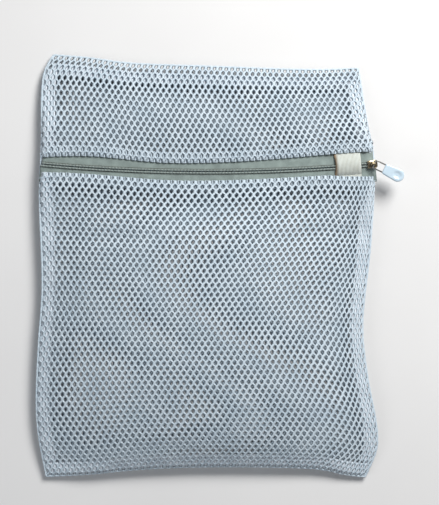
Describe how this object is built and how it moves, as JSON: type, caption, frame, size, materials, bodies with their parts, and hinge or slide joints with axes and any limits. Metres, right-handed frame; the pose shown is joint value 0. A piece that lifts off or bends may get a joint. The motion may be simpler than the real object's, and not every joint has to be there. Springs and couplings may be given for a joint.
{
  "type": "mesh laundry bag",
  "caption": "Flat rectangular net bag for washing delicates, plumped as in use, with a coil zip across its front, a slider with a moulded pull, and an elastic loop that keeps the pull.",
  "frame": {"origin": "middle of the bag's flat underside, where it lies on the table", "axes": "+Z out of the bag's front, +Y towards its top edge, +X along the zip towards its closed end"},
  "size_m": [0.3199, 0.3712, 0.0372],
  "materials": {
    "net": "knitted polyester net, slightly shiny yarn",
    "binding": "woven polyester tape",
    "thread": "polyester sewing thread",
    "zip_tape": "herringbone woven polyester tape",
    "zip_coil": "nylon monofilament coil",
    "elastic": "ribbed woven elastic",
    "metal": "nickel-plated zinc, bright",
    "grip": "glossy moulded plastic"
  },
  "bodies": {
    "bag": {"back_panel": "net", "lower_front_panel": "net", "upper_front_panel": "net", "left_binding": "binding", "right_binding": "binding", "top_binding": "binding", "bottom_binding": "binding", "seam_thread": "thread", "lower_zip_tape": "zip_tape", "upper_zip_tape": "zip_tape", "lower_zip_coil": "zip_coil", "upper_zip_coil": "zip_coil", "lower_coil_cord": "thread", "upper_coil_cord": "thread", "lower_hem_stitching": "thread", "upper_hem_stitching": "thread", "elastic_loop": "elastic"},
    "slider": {"slider_body": "metal"},
    "pull": {"pull_link": "metal", "pull_grip": "grip"}
  },
  "joints": [
    {"name": "zip_travel", "type": "hinge", "parent": "bag", "child": "slider", "pos_m": [0, 1.69294, 0.0155], "axis": [0, 0, -1], "range_deg": [0, 10], "deforming": ["elastic_loop"]},
    {"name": "pull_swing", "type": "hinge", "parent": "slider", "child": "pull", "pos_m": [0.14408, 0.08876, 0.01951], "axis": [-0.4371, -0.8994, 0], "range_deg": [0, 165]}
  ]
}
